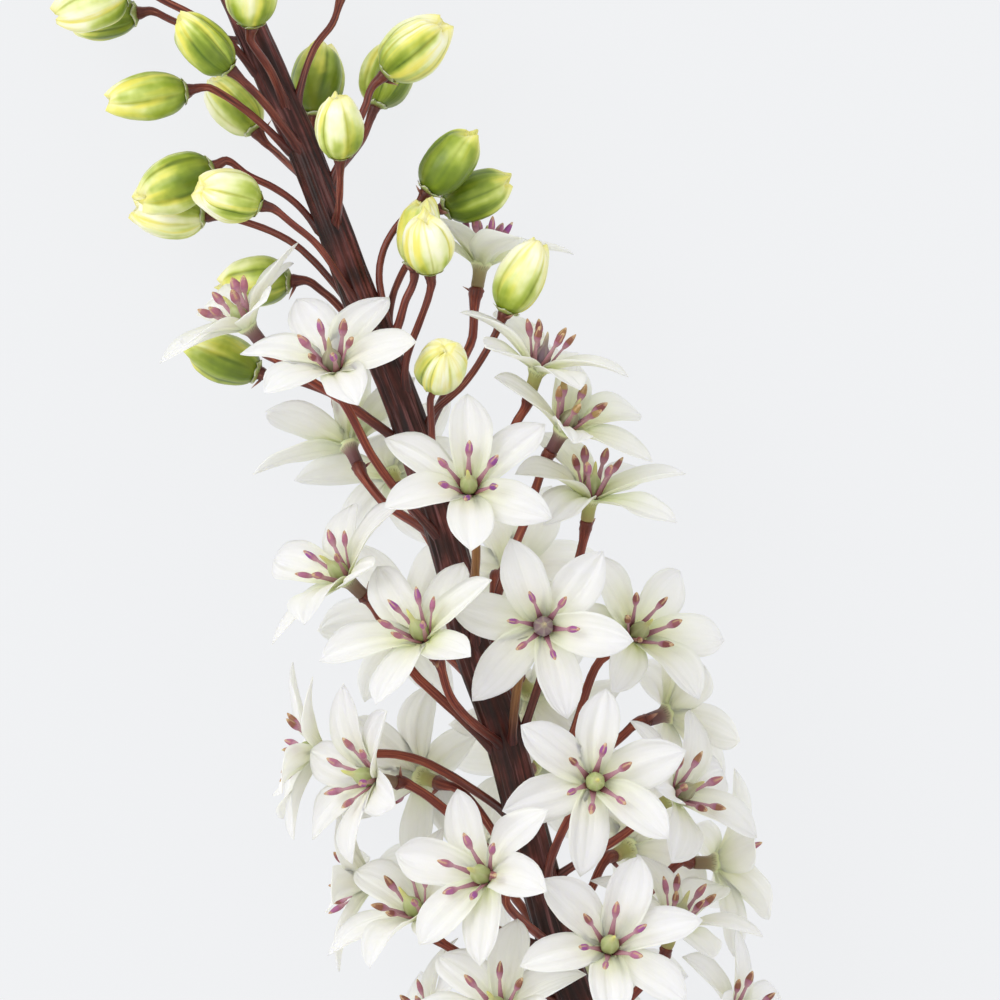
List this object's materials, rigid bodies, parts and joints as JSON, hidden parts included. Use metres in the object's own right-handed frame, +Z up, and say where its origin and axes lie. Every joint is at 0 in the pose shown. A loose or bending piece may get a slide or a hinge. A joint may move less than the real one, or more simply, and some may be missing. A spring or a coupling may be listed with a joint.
{
  "type": "pineapple lily",
  "caption": "Cut flower stem lying down: long ridged burgundy stem with white star flowers on slender stalks, green buds above them and a small leafy crown.",
  "frame": {"origin": "bottom centre of the part's bounding box, on the surface that the stem lies on", "axes": "+Y along the stem from its cut end to its leafy crown, +Z up, +X to the right seen from above with the crown at the top"},
  "size_m": [0.1011, 0.4264, 0.0832],
  "materials": {
    "stem": "satin",
    "petals": "matte",
    "buds": "satin",
    "crown": "satin"
  },
  "bodies": {
    "root": {"bud_01": "buds", "bud_02": "buds", "bud_03": "buds", "bud_04": "buds", "bud_05": "buds", "bud_06": "buds", "bud_07": "buds", "bud_08": "buds", "bud_09": "buds", "bud_10": "buds", "bud_11": "buds", "bud_12": "buds", "bud_13": "buds", "bud_14": "buds", "bud_15": "buds", "bud_16": "buds", "bud_17": "buds", "bud_18": "buds", "bud_19": "buds", "bud_20": "buds", "bud_21": "buds", "bud_22": "buds", "crown": "crown", "flower_01": "petals", "flower_02": "petals", "flower_03": "petals", "flower_04": "petals", "flower_05": "petals", "flower_06": "petals", "flower_07": "petals", "flower_08": "petals", "flower_09": "petals", "flower_10": "petals", "flower_11": "petals", "flower_12": "petals", "flower_13": "petals", "flower_14": "petals", "flower_15": "petals", "flower_16": "petals", "flower_17": "petals", "flower_18": "petals", "flower_19": "petals", "flower_20": "petals", "flower_21": "petals", "flower_22": "petals", "flower_23": "petals", "flower_24": "petals", "flower_25": "petals", "flower_26": "petals", "flower_27": "petals", "flower_28": "petals", "flower_29": "petals", "flower_30": "petals", "flower_31": "petals", "flower_32": "petals", "flower_33": "petals", "flower_34": "petals", "flower_35": "petals", "flower_36": "petals", "stem": "stem"}
  },
  "joints": []
}
